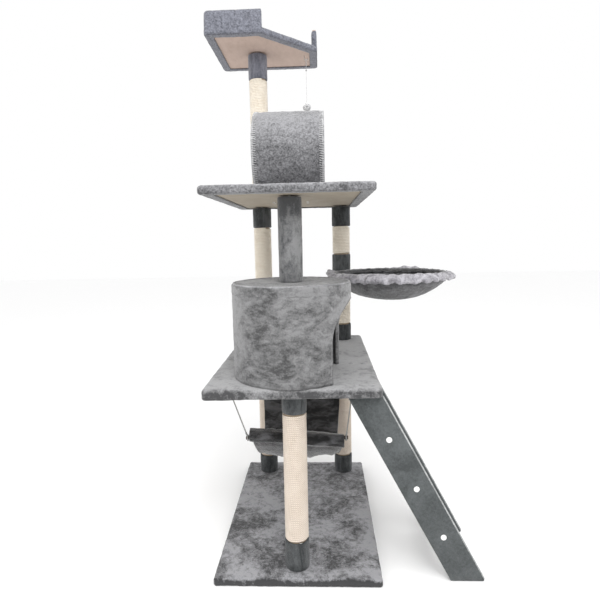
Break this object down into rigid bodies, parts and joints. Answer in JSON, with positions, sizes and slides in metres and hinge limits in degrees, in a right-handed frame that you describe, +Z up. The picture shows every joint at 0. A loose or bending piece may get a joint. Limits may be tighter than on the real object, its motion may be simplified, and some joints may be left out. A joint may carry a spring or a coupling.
{
  "type": "cat tree",
  "caption": "Tall plush and sisal cat tree with a round house, barrel tunnel, hammock, swinging basket, ladder, walled top perch and a hanging toy.",
  "frame": {"origin": "centre of the base's underside, on the floor", "axes": "+X to the ladder's side, +Y from the round house's end towards the basket post, +Z up"},
  "size_m": [0.892, 0.89, 1.825],
  "materials": {
    "board": "matt",
    "plush": "plush",
    "plush_trim": "woven edge strip",
    "sleeve_plush": "short dark plush",
    "sisal": "wound rope",
    "card": "matt",
    "steel": "zinc plated",
    "white_cap": "matt",
    "rod_wood": "matt",
    "dark_plush": "long plush",
    "basket_plush": "plush",
    "cord": "twisted cord",
    "toy_cord": "thin white cord",
    "toy_fluff": "fluffy"
  },
  "bodies": {
    "frame": {"back_left_lower_post_sisal": "sisal", "back_right_lower_post_sisal": "sisal", "base_board": "board", "base_cover": "plush", "bolt_washers": "steel", "centre_post_cover": "plush", "front_lower_post_sisal": "sisal", "hammock_hooks": "steel", "house_blocks": "board", "house_door_binding": "plush_trim", "house_roof_board": "board", "house_roof_cover": "plush", "house_wall": "board", "house_wall_cover": "plush", "joining_studs": "steel", "ladder_back_rail": "sleeve_plush", "ladder_caps": "white_cap", "ladder_front_rail": "sleeve_plush", "ladder_rungs": "sleeve_plush", "ladder_screws": "steel", "left_upper_post_sisal": "sisal", "lower_deck_board": "board", "lower_deck_cover": "plush", "perch_board": "board", "perch_floor_cover": "plush", "perch_post_sisal": "sisal", "perch_wall_boards": "board", "perch_wall_cover": "plush", "post_bolts": "steel", "post_end_plugs": "board", "post_sleeves": "sleeve_plush", "post_tubes": "card", "right_upper_post_high_sisal": "sisal", "right_upper_post_low_sisal": "sisal", "toy_hook": "steel", "tunnel_bindings": "plush_trim", "tunnel_cover": "plush", "tunnel_floor_board": "board", "tunnel_shell": "board", "upper_deck_board": "board", "upper_deck_cover": "plush", "wood_screws": "steel"},
    "hammock_front_cords": {"hammock_front_left_cord": "cord", "hammock_front_right_cord": "cord", "hammock_front_loops": "cord"},
    "hammock_sling": {"hammock_sling": "dark_plush", "hammock_front_rod": "rod_wood", "hammock_back_rod": "rod_wood"},
    "hammock_back_cords": {"hammock_back_left_cord": "cord", "hammock_back_right_cord": "cord", "hammock_back_loops": "cord"},
    "basket": {"basket_ring": "steel", "basket_pouch": "basket_plush", "basket_ruffle": "basket_plush"},
    "toy_loop": {"toy_loop": "toy_cord"},
    "toy": {"toy_tie": "toy_cord", "toy_string": "toy_cord", "toy_ball": "toy_fluff"}
  },
  "joints": [
    {"name": "hammock_swing", "type": "hinge", "parent": "frame", "child": "hammock_front_cords", "pos_m": [-0.005, -0.2, 0.559], "axis": [1, 0, 0], "range_deg": [-12, 12]},
    {"name": "hammock_front_hem", "type": "hinge", "parent": "hammock_front_cords", "child": "hammock_sling", "pos_m": [-0.005, -0.2, 0.382], "axis": [1, 0, 0], "range_deg": [-12, 12]},
    {"name": "hammock_back_hem", "type": "hinge", "parent": "hammock_sling", "child": "hammock_back_cords", "pos_m": [-0.005, 0.215, 0.382], "axis": [1, 0, 0], "range_deg": [-12, 12]},
    {"name": "basket_swivel", "type": "hinge", "parent": "frame", "child": "basket", "pos_m": [0.165, 0.316, 0.885], "axis": [0, 0, 1], "range_deg": [-8, 90]},
    {"name": "toy_loop_swing", "type": "hinge", "parent": "frame", "child": "toy_loop", "pos_m": [0.034, 0.345, 1.728], "axis": [1, 0, 0], "range_deg": [-35, 35]},
    {"name": "toy_swing", "type": "hinge", "parent": "toy_loop", "child": "toy", "pos_m": [0.034, 0.345, 1.68715], "axis": [0, 1, 0], "range_deg": [-35, 35]}
  ],
  "couplings": [
    {"joint": "hammock_front_hem", "follows": "hammock_swing", "ratio": -1},
    {"joint": "hammock_back_hem", "follows": "hammock_swing", "ratio": 1}
  ]
}
